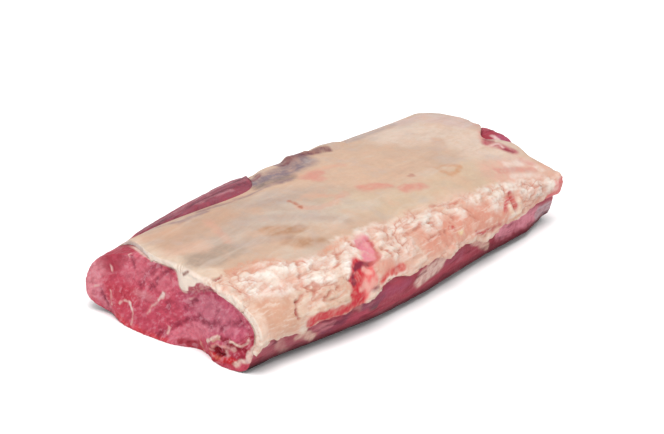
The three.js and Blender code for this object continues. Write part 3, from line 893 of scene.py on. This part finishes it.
lean_canvas.paint(SIDE_FIELDS, grit=0.5)
lean_canvas.tint("B4949C", DULLED * (1 - cut))
# Painted shade: the lower sides are tinted almost black, up to FOOT_HIGH mm above the table.
lean_canvas.tint("1E060C", FOOT_SHADE * foot)
SIDE_LIGHTS = {
    "rose under the band": ("C8566A", 4, 3, 0.8, [(352, 318), (366, 312)]),
    "pink near front": ("D88890", 4, 3, 0.9, [(262, 341), (270, 341)], [(318, 330), (330, 325)]),
    "pale scraps": ("E6BDAC", 4, 2.2, 1.0, [(299, 337), (306, 335), (312, 337)],
        [(474, 241), (481, 243), (487, 246)]),
    "pale membrane": ("EFCBBE", 9, 4, 1.0, [(421, 278), (431, 271), (440, 264)]),
    "pink far stretch": ("EC98A8", 7, 4, 0.95, [(500, 232), (520, 221), (534, 213)]),
    "grey far end": ("CBB0B6", 5, 4, 0.95, [(538, 212), (552, 204)]),
}
lean_canvas.paint(SIDE_LIGHTS, grit=0.5)
BACK_STRIP = [(150, 228), (200, 205), (252, 180)]
SIDE_DEPTHS = {
    "back strip": (-1.1, 14, 9, BACK_STRIP),
    "far part of the back strip": (-1.5, 8, 8, BACK_STRIP[1:]),
    "notch": (-1.2, 8, 6, [(488, 136), (500, 139), (512, 149)]),
    "side of the notch": (-0.9, 4, 4, [(482, 130), (487, 131)]),
}
lean_canvas.sink(SIDE_DEPTHS, grit=0)

# %% Keep the lean's paint
RIM_WITHIN = 3.0 * MM
RIM_SOFT = 1.2 * MM
RIM_CREAM_OVER_SHADE = 0.9

to_fat = np.array([fat_tree.find_nearest(Vector(p) * MM)[3] for p in lean_canvas.points])
covered = to_fat < COVERED_WITHIN
# The cut's rim beside the fat is tinted cream: partly the thin rim of fat seen there, and partly painted
# light over the shade line where the fat's edge meets the cut.
lean_canvas.tint("EED0C2", RIM_CREAM_OVER_SHADE * cut * smooth_step((RIM_WITHIN - to_fat) / RIM_SOFT))
RED_RIM = {
    "meat beside the flap": ("C4506A", 3, 2, 1.0, [(190, 294), (202, 292), (212, 291), (219, 297)]),
}
lean_canvas.paint(RED_RIM, grit=0.3)
bare = ~covered & (lean_canvas.normals[:, 2] > FACES_DOWN)
lean_canvas.keep(cut=cut, mottled=mottled, bare=bare)
print("share of the lean's points that no fat covers:", round(1 - float(covered.mean()), 2))

# %% [markdown]
# ## Sums on sockets
# Both the relief and the finishes are sums of noises, and node by node such sums are hard to read. One small
# class wraps a socket: plus, minus, times and so on add Math nodes, and `node` adds any other kind. The same
# class serves Geometry Nodes and shaders, so a pattern that both need is written once.

# %% Socket class
class Wire:
    """A socket of a node tree that can be used in sums."""

    def __init__(self, tree, socket=None):
        self.tree = tree
        self.socket = socket

    def node(self, kind, settings=None, sockets=None, output=0):
        """Adds a node with its settings, then its sockets' values or links, and gives one of its outputs."""
        made = self.tree.nodes.new(kind)
        for name, value in (settings or {}).items():
            setattr(made, name, value)
        for name, value in (sockets or {}).items():
            if isinstance(value, Wire):
                self.tree.links.new(value.socket, made.inputs[name])
            else:
                made.inputs[name].default_value = value
        return Wire(self.tree, made.outputs[output])

    def math(self, operation, first, second=0.0):
        """A sum of two single values."""
        return self.node("ShaderNodeMath", {"operation": operation}, {0: first, 1: second})

    def vector_math(self, operation, sockets, output=0):
        """A sum of places, or of a place and a value."""
        return self.node("ShaderNodeVectorMath", {"operation": operation}, sockets, output)

    def __add__(self, other):
        return self.math("ADD", self, other)

    def __sub__(self, other):
        return self.math("SUBTRACT", self, other)

    def __rsub__(self, other):
        return self.math("SUBTRACT", other, self)

    def __mul__(self, other):
        return self.math("MULTIPLY", self, other)

    def __abs__(self):
        return self.math("ABSOLUTE", self)

    __radd__ = __add__
    __rmul__ = __mul__

    def most(self, other):
        """The larger of two values."""
        return self.math("MAXIMUM", self, other)

    def between(self, low, high):
        """0 below low, 1 above high and a soft bend between."""
        bend = {"interpolation_type": "SMOOTHSTEP"}
        return self.node("ShaderNodeMapRange", bend, {0: self, 1: low, 2: high})

    def stretched(self, factors):
        """A place multiplied by a factor along x, y and z."""
        return self.vector_math("MULTIPLY", {0: self, 1: factors})

    def cloud(self, size, detail=2.0, roughness=0.5, output=0):
        """Noise from 0 to 1 of a size in metres, or of a size along each axis, read at this place."""
        even = isinstance(size, float)
        return self.node("ShaderNodeTexNoise", {}, {
            "Vector": self if even else self.stretched([1 / s for s in size]),
            "Scale": 1 / size if even else 1.0, "Detail": detail, "Roughness": roughness}, output)

    def swayed(self, size, reach):
        """This place, shifted at random by up to about `reach` metres."""
        shift = self.cloud(size, output="Color")
        shift = self.vector_math("MULTIPLY_ADD", {0: shift, 1: (2 * reach,) * 3, 2: (-reach,) * 3})
        return self.vector_math("ADD", {0: self, 1: shift})

    def along(self, direction):
        """How far this place lies along a direction."""
        return self.vector_math("DOT_PRODUCT", {0: self, 1: direction}, "Value")

    def mixed(self, colour, share, blend="MIX"):
        """This colour, mixed with another by a share. Sockets 6, 7 and output 2 are those for colours."""
        settings = {"data_type": "RGBA", "blend_type": blend}
        return self.node("ShaderNodeMix", settings, {0: share, 6: self, 7: colour}, 2)


print("socket class ready")

# %% [markdown]
# ## Patterns that relief and finish share
# Cold fat breaks into soft crumbs, longer along the loin. Noise that is folded at its middle value swells
# like them, with creases where it folds. A crease is both a groove and a pink line, so one function gives it
# to the relief and to the finish.

# %% Creases and crumbs of the fat
CRUMB_SIZES = (13 * MM, 6 * MM)
ALONG = (0.65, 1.0, 1.0)


def crumbled(place):
    """Creases of the fat, from 0 to 1, and how far each crumb swells between them, from 0 to 1."""
    flow = place.stretched(ALONG).swayed(10 * MM, 3 * MM)
    large, small = [abs(flow.cloud(size, 2.0, 0.4) - 0.5) for size in CRUMB_SIZES]
    swell = large.between(0.0, 0.16) * 0.65 + small.between(0.0, 0.14) * 0.35
    crease = (1 - large.between(0.0, 0.02)).most((1 - small.between(0.0, 0.018)) * 0.6)
    return crease * place.cloud(15 * MM).between(0.42, 0.62), swell


print("crumbs of about", [round(size / MM) for size in CRUMB_SIZES], "mm, longer along the loin")

# %% [markdown]
# ## Relief by Geometry Nodes
# The crumbs of the fat and the grain of the meat follow a rule over a whole surface, so Geometry Nodes make
# them: each point moves along its normal by a sum of noises. The tree also stores where each point lay
# before it moved, as `rest`, so that the finish lines up with the relief.

# %% Parts that both reliefs share
def relief_tree(name, sizes):
    """A tree with a mesh, sizes in metres and a finish as inputs. Gives the tree and its input wires."""
    tree = bpy.data.node_groups.new(name, "GeometryNodeTree")
    tree.interface.new_socket("Mesh", in_out="INPUT", socket_type="NodeSocketGeometry")
    for size in sizes:
        tree.interface.new_socket(size, in_out="INPUT", socket_type="NodeSocketFloat")
    tree.interface.new_socket("Finish", in_out="INPUT", socket_type="NodeSocketMaterial")
    tree.interface.new_socket("Mesh", in_out="OUTPUT", socket_type="NodeSocketGeometry")
    entry = tree.nodes.new("NodeGroupInput")
    return tree, {socket.name: Wire(tree, socket) for socket in entry.outputs if socket.name}


def read(wire, name):
    """A value that is stored on the points."""
    return wire.node("GeometryNodeInputNamedAttribute", {"data_type": "FLOAT"}, {"Name": name})


def raise_surface(mesh, place, height, finish):
    """Stores each point's place, moves it along its normal, realizes the mesh and gives it its finish."""
    kept = mesh.node("GeometryNodeStoreNamedAttribute", {"data_type": "FLOAT_VECTOR", "domain": "POINT"},
                     {"Geometry": mesh, "Name": "rest", "Value": place})
    normal = mesh.node("GeometryNodeInputNormal")
    offset = mesh.vector_math("SCALE", {0: normal, "Scale": height})
    moved = mesh.node("GeometryNodeSetPosition", {}, {"Geometry": kept, "Offset": offset})
    real = mesh.node("GeometryNodeRealizeInstances", {}, {"Geometry": moved})
    finished = mesh.node("GeometryNodeSetMaterial", {}, {"Geometry": real, "Material": finish})
    leave = mesh.tree.nodes.new("NodeGroupOutput")
    mesh.tree.links.new(finished.socket, leave.inputs[0])


def apply_relief(made, tree, values):
    """Runs a tree on an object with values set by their sockets' identifiers, and keeps the plain mesh."""
    modifier = made.modifiers.new("relief", "NODES")
    modifier.node_group = tree
    for item in tree.interface.items_tree:
        if item.in_out == "INPUT" and item.name in values:
            modifier[item.identifier] = values[item.name]
    plain_result(made)
    print(made.name, "has", triangles(made), "triangles after its relief")


# %% Relief of the fat
fat_relief, fat_in = relief_tree("crumbly fat", ["Swell", "Crease Depth", "Crumb", "Grain", "Ripple"])
mesh = fat_in["Mesh"]
place = mesh.node("GeometryNodeInputPosition")
creases, swell = crumbled(place)
crumbs = (place.cloud(4.2 * MM, 2.0) - 0.5) * fat_in["Crumb"] * place.cloud(14 * MM).between(0.35, 0.6)
grain = (place.cloud(1.9 * MM, 2.0) - 0.5) * fat_in["Grain"]
broken = (swell - 0.5) * fat_in["Swell"] - creases * fat_in["Crease Depth"] + crumbs + grain
ripples = (place.cloud((0.040, 0.014, 0.016), 3.0) - 0.5) * fat_in["Ripple"]
height = read(mesh, "skin") * (read(mesh, "crumb") * broken + ripples + read(mesh, "height") * MM)
raise_surface(mesh, place, height, fat_in["Finish"])
print("inputs of the fat's relief:", ", ".join(fat_in))

# %% Relief of the lean
lean_relief, lean_in = relief_tree("grain of the lean", ["Grain", "Bundle", "Fibre"])
mesh = lean_in["Mesh"]
place = mesh.node("GeometryNodeInputPosition")
grain = (place.cloud(2.6 * MM, 2.0) - 0.5) * lean_in["Grain"]
bundle = (place.cloud(7 * MM, 3.0) - 0.5) * lean_in["Bundle"]
fibre = (place.cloud((0.022, 0.0034, 0.0034), 3.0) - 0.5) * lean_in["Fibre"]
cut_share = read(mesh, "cut")
rough = grain * cut_share + bundle * (0.3 + 0.7 * cut_share) + fibre * (1 - cut_share)
height = read(mesh, "bare") * (rough + read(mesh, "height") * MM)
raise_surface(mesh, place, height, lean_in["Finish"])
print("inputs of the lean's relief:", ", ".join(lean_in))

# %% [markdown]
# ## Finish of the fat
# Fat is not one colour. The paint gives its fields; on top come cloudy tones, streaks along the skin, fine
# specks, and pink in the creases between crumbs. One noise could not do it, because the skin is streaked and
# the front is crumbly. So each layer has a mask. Light goes a little way into fat, so its shadows are warm.

# %% Fat finish
def new_finish(name):
    """A material with a shader, and a wire to start its nodes from."""
    finish = bpy.data.materials.new(name)
    finish.use_nodes = True
    return finish, finish.node_tree.nodes["Principled BSDF"], Wire(finish.node_tree)


def surface_value(start, name, output):
    """An attribute of the mesh: its colour, vector or single value."""
    return start.node("ShaderNodeAttribute", {"attribute_name": name}, {}, output)


def grey(value):
    """A colour with the same red, green and blue."""
    return value.node("ShaderNodeCombineColor", {}, {0: value, 1: value, 2: value})


def connect(shader, start, links, constants):
    """Links what varies over the surface, and sets the rest on the shader's own sockets."""
    for name, wire in links.items():
        start.tree.links.new(wire.socket, shader.inputs[name])
    for name, value in constants.items():
        shader.inputs[name].default_value = value


def layered(ground, layers):
    """A colour with others mixed over it in turn. A layer is a name, a code, its mask and its strength."""
    for _, code, mask, strength in layers:
        ground = ground.mixed((*linear(code), 1.0), mask * strength)
    return ground


fat_finish, fat_shader, start = new_finish("raw fat")
rest = surface_value(start, "rest", "Vector")
paint = surface_value(start, "paint", "Color")
crumbs = surface_value(start, "crumb", "Fac")
flakes = surface_value(start, "flaky", "Fac")
smooth = 1 - surface_value(start, "front", "Fac")
creases, swell = crumbled(rest)
tone = 0.85 + 0.3 * rest.cloud(9 * MM, 4.0, 0.6)
speck = 0.96 + 0.08 * rest.cloud(1.6 * MM, 2.0)
# Painted light and shade: crumbs are a little lighter on their swollen tops and darker in the hollows between
# them.
full = 1 + (swell - 0.6) * crumbs * 0.14
streaks = rest.swayed(24 * MM, 6 * MM).cloud((0.070, 0.010, 0.016), 4.0, 0.55)
blotches = rest.cloud(19 * MM, 4.0, 0.6)
blush = rest.cloud(11 * MM, 3.0, 0.6).between(0.5, 0.68)
thin = rest.swayed(9 * MM, 1.5 * MM).cloud((0.018, 0.0022, 0.0022), 3.0, 0.6)
toned = layered(paint.mixed(grey(tone * speck * full), 1.0, "MULTIPLY"), [
    ("pale streaks of the skin", "E0CEBE", streaks.between(0.52, 0.74) * smooth, 0.4),
    ("dim streaks of the skin", "C2A08C", (1 - streaks.between(0.28, 0.47)) * smooth, 0.35),
    ("peach blotches", "DFB193", blotches.between(0.52, 0.68) * smooth, 0.35),
    ("grey blotches", "C7B7B0", (1 - blotches.between(0.34, 0.47)) * smooth, 0.3),
    ("blush, mostly on crumbs", "E9AB96", blush * (0.08 + 0.47 * crumbs), 1.0),
    ("pink between crumbs", "E5A78F", (1 - swell.between(0.15, 0.5)) * crumbs, 0.45),
    ("pink edges of thin layers", "DC9E86", thin.between(0.52, 0.66) * flakes, 0.4),
    ("pale edges of thin layers", "F7E6D8", (1 - thin.between(0.34, 0.47)) * flakes, 0.4),
    ("red in the creases", "CC7A66", creases * crumbs, 0.65),
])
rough = 0.45 + 0.2 * rest.cloud(4 * MM, 2.0)
fine = rest.cloud(1.7 * MM, 3.0) * (0.4 + 0.6 * crumbs)
bump = start.node("ShaderNodeBump", {}, {"Strength": 0.7, "Distance": 0.6 * MM, "Height": fine})
connect(fat_shader, start, {"Base Color": toned, "Roughness": rough, "Normal": bump}, {
    "Subsurface Weight": 0.12, "Subsurface Radius": (1.0, 0.5, 0.35), "Subsurface Scale": 2.5 * MM,
    "Specular IOR Level": 0.2})
print("finish:", fat_finish.name)

# %% [markdown]
# ## Finish of the lean
# A cut across muscle shows the fibre bundles as a fine speckle of light flecks on deeper pink. Along the
# sides the same fibres show as streaks. One noise, stretched along a slant, makes the bundles for both the
# colour and the fine bumps. The meat looks moist but not glossy under so soft a light, so its shine is low.

# %% Lean finish
LEANING = (0.0, -0.71, 0.71)
ACROSS = (0.0, 0.71, 0.71)
SHADED = (0.5, 0.4, 0.44, 1.0)
FLECK_LIGHT = (*linear("F4B4C0"), 1.0)

lean_finish, lean_shader, start = new_finish("raw lean")
rest = surface_value(start, "rest", "Vector")
paint = surface_value(start, "paint", "Color")
mottled = surface_value(start, "mottled", "Fac")
side = 1 - surface_value(start, "cut", "Fac")
tone = 0.84 + 0.32 * rest.cloud(9 * MM, 4.0, 0.6)
meat = paint.mixed(grey(tone), 1.0, "MULTIPLY")
flow = rest.swayed(8 * MM, 2 * MM)
leaning = start.node("ShaderNodeCombineXYZ", {}, {0: flow.along(ACROSS), 1: flow.along(LEANING)})
bundles = leaning.cloud((0.0030, 0.0058, 1.0), 3.0, 0.6)
patchy = mottled * (0.6 + 0.4 * rest.cloud(13 * MM, 2.0).between(0.38, 0.58))
meat = meat.mixed(meat.mixed(FLECK_LIGHT, 0.5), bundles.between(0.5, 0.64) * patchy * 0.7)
meat = meat.mixed(SHADED, (1 - bundles.between(0.36, 0.49)) * patchy * 0.48, "MULTIPLY")
streaks = rest.swayed(16 * MM, 3 * MM).cloud((0.030, 0.004, 0.004), 4.0, 0.6)
meat = layered(meat, [
    ("light fibres of the sides", "C47886", streaks.between(0.54, 0.7) * side, 0.4),
    ("dark fibres of the sides", "62182C", (1 - streaks.between(0.32, 0.47)) * side, 0.5),
])
rough = 0.32 + 0.2 * rest.cloud(5 * MM, 2.0)
pits = bundles * 0.7 + rest.cloud(1.6 * MM, 3.0) * 0.3
bump = start.node("ShaderNodeBump", {}, {"Strength": 0.8, "Distance": 1.2 * MM, "Height": pits})
connect(lean_shader, start, {"Base Color": meat, "Roughness": rough, "Normal": bump}, {
    "Subsurface Weight": 0.15, "Subsurface Radius": (1.0, 0.3, 0.25), "Subsurface Scale": 2.5 * MM,
    "Specular IOR Level": 0.03})
print("finish:", lean_finish.name)

# %% Run both reliefs
apply_relief(fat, fat_relief, {
    "Swell": 2.0 * MM, "Crease Depth": 0.5 * MM, "Crumb": 1.4 * MM, "Grain": 0.4 * MM, "Ripple": 1.8 * MM,
    "Finish": fat_finish})
apply_relief(lean, lean_relief, {
    "Grain": 1.0 * MM, "Bundle": 1.5 * MM, "Fibre": 1.0 * MM, "Finish": lean_finish})

# %% [markdown]
# ## In place of the solids
# The loin is one rigid body, so both pieces ride on its root. Each stands in for the solid that it was copied
# from, and carries its own material.

# %% Ride
for piece, node, slot in ((lean, "lean", "lean"), (fat, "fat_cap", "fat")):
    piece.data.polygons.foreach_set("use_smooth", [True] * len(piece.data.polygons))
    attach(piece, "root")
    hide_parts(node)
    print(piece.name, "stands for", node)
